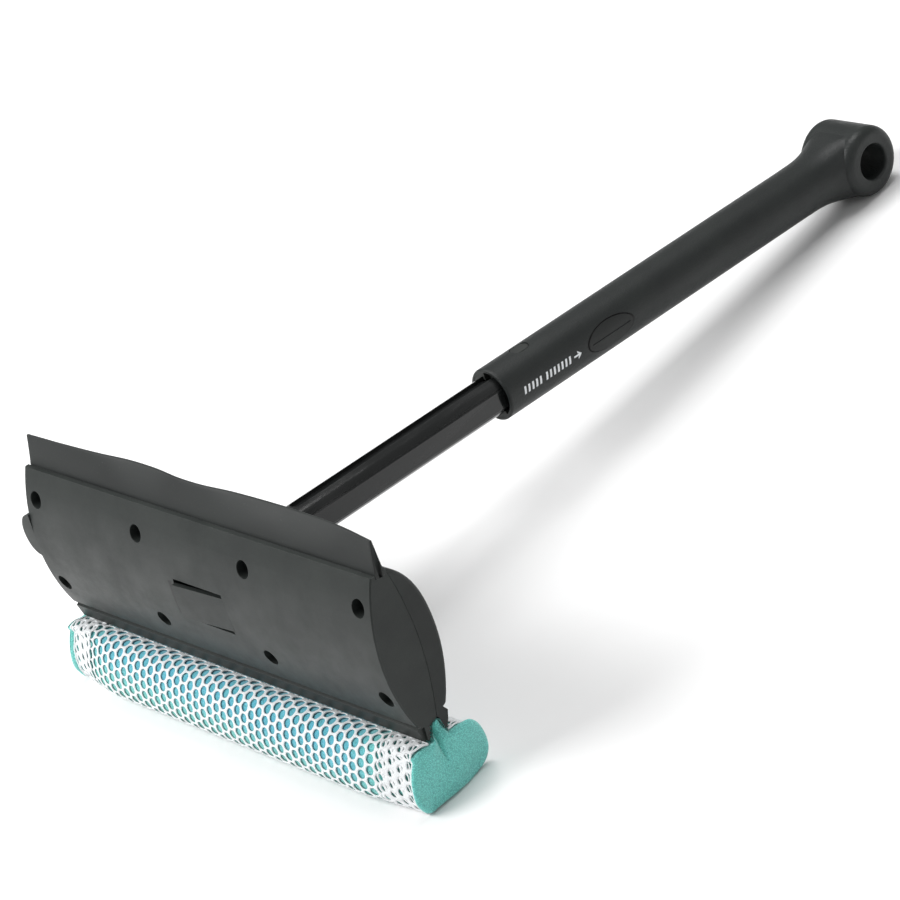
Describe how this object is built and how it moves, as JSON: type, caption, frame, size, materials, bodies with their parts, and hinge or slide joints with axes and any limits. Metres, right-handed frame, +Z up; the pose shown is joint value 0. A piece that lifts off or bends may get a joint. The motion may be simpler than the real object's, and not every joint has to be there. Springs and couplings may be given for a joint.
{
  "type": "window squeegee",
  "caption": "Window cleaning squeegee: rubber blade over a curved two-shell head, netted foam washing roll, and a grooved shaft that slides and latches in a hollow grip with a hanging hole",
  "frame": {"origin": "centre of the object's box, on the surface it lies on", "axes": "X along the head, +Y from the head's face towards the hanging end of the handle, +Z up; it lies on the foam roll and the hanging boss, so the handle falls 8 degrees towards +Y"},
  "size_m": [0.265, 0.4766, 0.1269],
  "materials": {
    "shell": "satin moulded charcoal plastic",
    "blade": "dark smooth wiper rubber",
    "foam": "open-cell foam, sea green and sky blue",
    "net": "white knitted polyester net",
    "screw": "zinc-plated steel",
    "shaft": "glossy black plastic",
    "guide": "black plastic",
    "grip": "fine-textured charcoal plastic",
    "button": "textured black plastic",
    "spring": "spring steel strip"
  },
  "bodies": {
    "grip": {"grip_tube": "grip", "guide_bushing": "guide", "latch_spring": "spring"},
    "head": {"front_shell": "shell", "rear_shell": "shell", "squeegee_blade": "blade", "sponge_foam": "foam", "sponge_net": "net", "shell_screws": "screw", "shaft": "shaft", "shaft_end_guide": "guide"},
    "latch": {"release_button": "button", "latch_yoke": "guide"}
  },
  "joints": [
    {"name": "handle_slide", "type": "slide", "parent": "grip", "child": "head", "axis": [0, -0.9903, 0.1392], "range_m": [-0.0675, 0.0675]},
    {"name": "button_press", "type": "slide", "parent": "grip", "child": "latch", "axis": [-1, 0, 0], "range_m": [0, 0.0017], "stiffness_N_per_m": 1500, "springref_m": -0.0008, "deforming": ["latch_spring"]}
  ]
}
